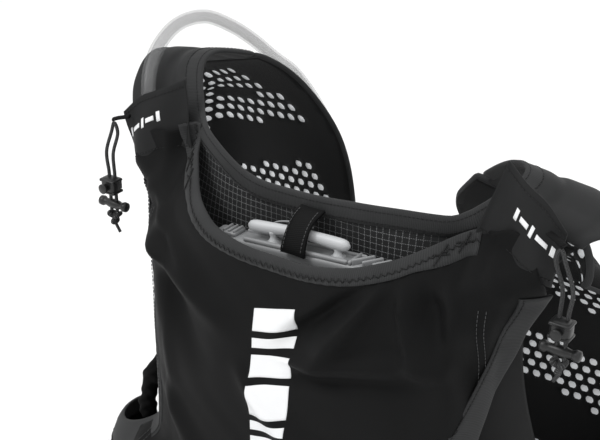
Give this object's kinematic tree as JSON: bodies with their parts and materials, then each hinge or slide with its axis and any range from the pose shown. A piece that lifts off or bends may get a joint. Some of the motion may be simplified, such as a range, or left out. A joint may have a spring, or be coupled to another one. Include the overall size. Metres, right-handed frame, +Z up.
{
  "type": "hydration running vest",
  "caption": "Close-fitting hydration running vest with a scooped back pocket, hung water reservoir, over-shoulder drinking hose, corded hose outlets and sliding chest straps.",
  "frame": {"origin": "centre of the back pad's wearer-side face, on the centre line", "axes": "+Y out of the wearer-side face, the way the wearer faces; -Y out of the back pocket; +Z up towards the neck; +X to the wearer's right"},
  "size_m": [0.3859, 0.2757, 0.4224],
  "materials": {
    "liner": "ripstop weave",
    "foam": "matte spacer foam",
    "shell": "matte stretch weave",
    "tape": "flat elastic tape",
    "perforated": "matte perforated foam",
    "hard_black": "fine texture",
    "clip_grey": "satin",
    "film": "translucent film",
    "hose_clear": "translucent",
    "silicone": "soft",
    "cord": "braided",
    "webbing": "ribbed weave"
  },
  "bodies": {
    "vest": {"back_pad": "foam", "back_panel": "liner", "outer_shell": "shell", "neck_binding": "tape", "mouth_binding": "tape", "hem_binding": "tape", "reservoir": "film", "reservoir_fold": "film", "reservoir_port": "clip_grey", "hose_elbow": "clip_grey", "hose": "hose_clear", "valve_body": "hard_black", "bite_valve": "silicone", "hose_keeper": "webbing", "side_binding_R": "tape", "shoulder_R": "shell", "front_panel_R": "perforated", "flask_pocket_R": "shell", "flask_binding_R": "tape", "side_wing_R": "liner", "hose_port_R": "shell", "drawcord_R": "cord", "cord_knot_R": "cord", "cord_lock_R": "hard_black", "toggle_bar_R": "hard_black", "strap_rail_upper_R": "cord", "strap_rail_lower_R": "cord", "side_binding_L": "tape", "shoulder_L": "shell", "front_panel_L": "perforated", "flask_pocket_L": "shell", "flask_binding_L": "tape", "side_wing_L": "liner", "hose_port_L": "shell", "drawcord_L": "cord", "cord_knot_L": "cord", "cord_lock_L": "hard_black", "toggle_bar_L": "hard_black", "strap_rail_upper_L": "cord", "strap_rail_lower_L": "cord"},
    "clip": {"slide_clip": "clip_grey"},
    "tab": {"hang_tab": "webbing"},
    "lock_button_R": {"cord_plunger_R": "hard_black"},
    "lock_button_L": {"cord_plunger_L": "hard_black"},
    "release": {"release_button": "hard_black"},
    "lever": {"shutoff_lever": "clip_grey"},
    "upper_chest_strap": {"glider_upper_R": "hard_black", "glider_upper_L": "hard_black", "webbing_upper_R": "webbing", "webbing_upper_L": "webbing", "buckle_plug_upper": "hard_black", "buckle_socket_upper": "hard_black"},
    "lower_chest_strap": {"glider_lower_R": "hard_black", "glider_lower_L": "hard_black", "webbing_lower_R": "webbing", "webbing_lower_L": "webbing", "buckle_plug_lower": "hard_black", "buckle_socket_lower": "hard_black"}
  },
  "joints": [
    {"name": "clip_slide", "type": "slide", "parent": "vest", "child": "clip", "axis": [0.9965, 0, 0.0837], "range_m": [-0.01, 0.003]},
    {"name": "tab_hinge", "type": "hinge", "parent": "vest", "child": "tab", "pos_m": [0.0045, -0.012, 0.144], "axis": [-1, 0, 0], "range_deg": [0, 100]},
    {"name": "lock_press_R", "type": "slide", "parent": "vest", "child": "lock_button_R", "axis": [0, 1, 0], "range_m": [0, 0.0029], "stiffness_N_per_m": 400, "springref_m": -0.003},
    {"name": "lock_press_L", "type": "slide", "parent": "vest", "child": "lock_button_L", "axis": [0, 1, 0], "range_m": [0, 0.0029], "stiffness_N_per_m": 400, "springref_m": -0.003},
    {"name": "release_press", "type": "slide", "parent": "vest", "child": "release", "axis": [0, 1, 0], "range_m": [0, 0.0015], "stiffness_N_per_m": 900, "springref_m": -0.003},
    {"name": "valve_lever", "type": "hinge", "parent": "vest", "child": "lever", "pos_m": [-0.10755, 0.20284, 0.00178], "axis": [-0.0036, 0.999, 0.0455], "range_deg": [0, 90]},
    {"name": "upper_strap_height", "type": "slide", "parent": "vest", "child": "upper_chest_strap", "axis": [0, 0, 1], "range_m": [-0.02, 0.02]},
    {"name": "lower_strap_height", "type": "slide", "parent": "vest", "child": "lower_chest_strap", "axis": [0, 0, 1], "range_m": [-0.02, 0.02]}
  ]
}
